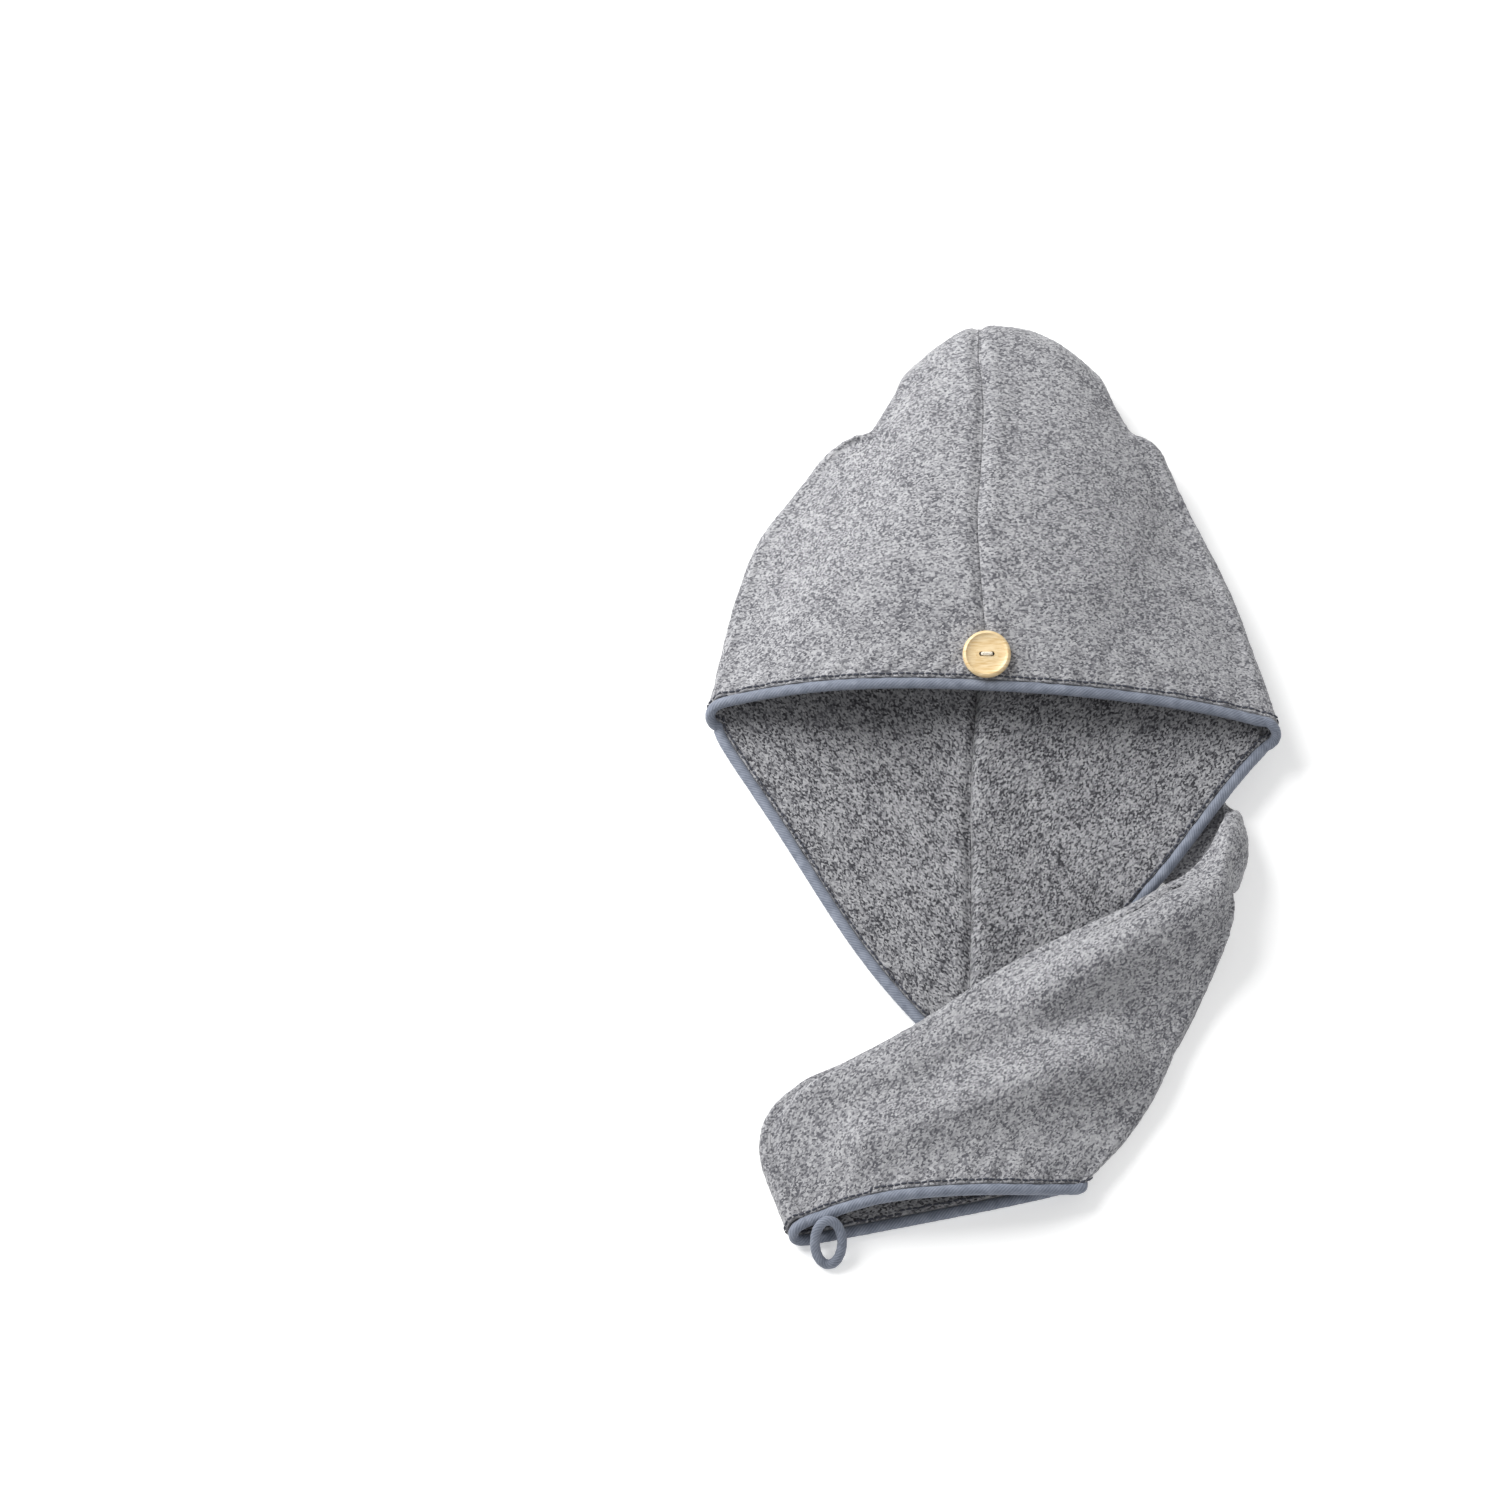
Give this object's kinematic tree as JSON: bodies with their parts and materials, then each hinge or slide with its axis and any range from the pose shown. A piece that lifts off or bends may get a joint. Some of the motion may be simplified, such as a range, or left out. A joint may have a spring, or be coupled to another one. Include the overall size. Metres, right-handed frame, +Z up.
{
  "type": "hair turban towel",
  "caption": "Fleece hair turban laid out flat: a hood with a taped V mouth and a wooden button, its tail folded across the point, with a taped end and a small loop.",
  "frame": {"origin": "middle of the floor area that the towel covers, on the floor it lies on", "axes": "+Y from the tail's end to the hood's crown, +Z up from the floor, +X to the side where the tail folds over"},
  "size_m": [0.2528, 0.4398, 0.0469],
  "materials": {
    "fleece": "short looped pile, mottled grey, matt",
    "binding_tape": "woven blue-grey tape, matt",
    "button_wood": "turned pale wood, satin",
    "thread": "off-white cotton, matt"
  },
  "bodies": {
    "root": {"hood_left": "fleece", "hood_right": "fleece", "tail_left": "fleece", "tail_right": "fleece", "mouth_binding": "binding_tape", "tail_binding": "binding_tape", "loop": "binding_tape", "button": "button_wood", "button_thread": "thread"}
  },
  "joints": []
}
